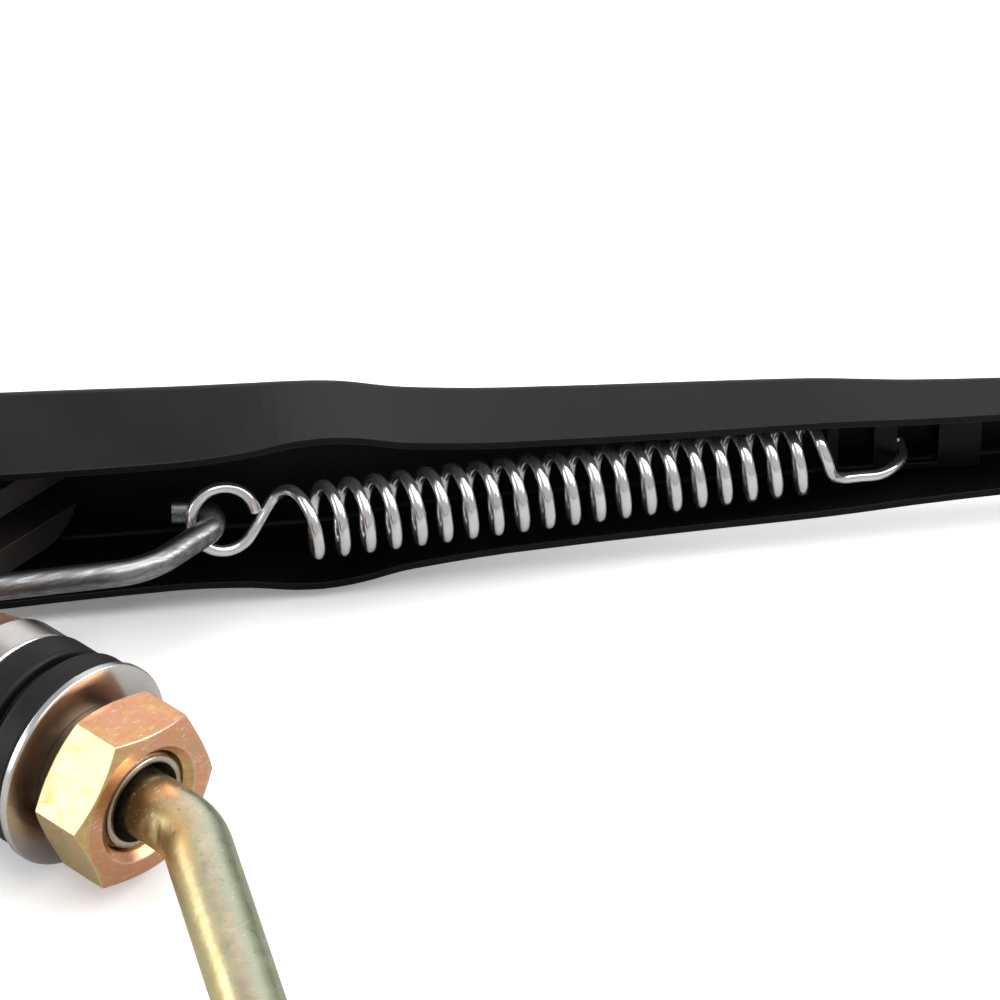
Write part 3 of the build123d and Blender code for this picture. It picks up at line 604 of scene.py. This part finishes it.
def threaded_tube(name, material, bore):
    """The spindle tube with its thread and chamfered ends. Its bore has a material of its own, near-black as
    painted shade.
    """
    mesh = bmesh.new()
    angles = [2 * pi * k / TUBE_SIDES for k in range(TUBE_SIDES)]
    rows = round((TUBE_TO - TUBE_FROM) / THREAD_PITCH * THREAD_ROWS)
    rows_y = [TUBE_FROM + (TUBE_TO - TUBE_FROM) * i / rows for i in range(rows + 1)]
    bore_radii = [TUBE_BORE_R] * TUBE_SIDES
    profile = [(TUBE_FROM, bore_radii)]
    profile += [(y, [thread_radius(y, a) for a in angles]) for y in rows_y]
    profile.append((TUBE_TO, bore_radii))
    rings = []
    for y, radii in profile:
        places = [Vector((r * cos(a), y, r * sin(a))) * MM for r, a in zip(radii, angles)]
        rings.append([mesh.verts.new(place) for place in places])
    rings.append(rings[0])
    for near, far in zip(rings, rings[1:]):
        for k in range(TUBE_SIDES):
            after = (k + 1) % TUBE_SIDES
            face = mesh.faces.new((near[k], far[k], far[after], near[after]))
            face.material_index = 1 if far is rings[0] else 0
    bmesh.ops.recalc_face_normals(mesh, faces=mesh.faces)
    piece = finish_mesh(name, mesh, material)
    piece.data.materials.append(bore)
    return piece


spring = tube_mesh("spring_wire", spring_points(), WIRE_R, WIRE_SIDES, spring_steel)
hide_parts("tension_spring")
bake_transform(spring)

tube = threaded_tube("threaded_tube", tube_zinc, bore_shade)
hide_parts("pivot_tube")
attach(tube, "clamp")


# Stage, light and camera
def floor_material():
    """White floor. Shiny parts see it darker than the camera does, as on a grey table. For the camera it
    glows less round the stack, a painted shadow, and more further out, painted light that washes shadows out.
    """
    t = Tree("floor_white")
    path = t.nodes.new("ShaderNodeLightPath")
    seen = t.mix(path.outputs["Is Glossy Ray"], (0.7, 0.7, 0.7), (0.52, 0.515, 0.51))
    seen = t.mix(path.outputs["Is Camera Ray"], seen, (0.95, 0.95, 0.95))
    t.set(Base_Color=seen, Roughness=0.9, Specular_IOR_Level=0.0)
    # Painted shadow and light: the camera's glow is weakest round the stack's shadow and grows outwards
    lift = t.span(t.reach(SHADE_CENTRE), *SHADE_REACH, *FLOOR_LIFT)
    lift = t.math("MULTIPLY", path.outputs["Is Camera Ray"], lift)
    t.set(Emission_Color=(1.0, 1.0, 1.0, 1.0), Emission_Strength=lift)
    return t.material


def add_floor(z):
    mesh = bpy.data.meshes.new("floor")
    s = FLOOR_HALF
    mesh.from_pydata([(-s, -s, z), (s, -s, z), (s, s, z), (-s, s, z)], [], [(0, 1, 2, 3)])
    mesh.materials.append(floor_material())
    floor = bpy.data.objects.new("floor", mesh)
    bpy.context.collection.objects.link(floor)
    floor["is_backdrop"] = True


def add_light(name, place, aim, size, power):
    light = bpy.data.lights.new(name, "AREA")
    light.shape = "RECTANGLE"
    light.size = size[0]
    light.size_y = size[1]
    light.energy = power
    lamp = bpy.data.objects.new(name, light)
    lamp.location = place
    lamp.rotation_euler = (Vector(aim) - Vector(place)).to_track_quat("-Z", "Y").to_euler()
    bpy.context.collection.objects.link(lamp)


def add_world(strength):
    world = bpy.data.worlds.new("studio")
    bpy.context.scene.world = world
    world.use_nodes = True
    background = world.node_tree.nodes["Background"]
    background.inputs["Color"].default_value = (1.0, 1.0, 1.0, 1.0)
    background.inputs["Strength"].default_value = strength


def add_camera():
    a = radians(VIEW_AZIMUTH)
    e = radians(VIEW_ELEVATION)
    back = Vector((sin(a) * cos(e), -cos(a) * cos(e), sin(e)))
    data = bpy.data.cameras.new("camera")
    data.sensor_width = SENSOR
    data.lens = LENS
    data.clip_start = CLIP_START
    camera = bpy.data.objects.new("camera", data)
    camera.location = VIEW_TARGET + back * VIEW_DISTANCE
    camera.rotation_euler = back.to_track_quat("Z", "Y").to_euler()
    bpy.context.collection.objects.link(camera)
    bpy.context.scene.camera = camera


add_floor(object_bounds()[0][2] - FLOOR_GAP)
for lamp in LAMPS:
    add_light(*lamp)
add_world(WORLD_STRENGTH)
add_camera()
bpy.context.scene.view_settings.view_transform = "Standard"
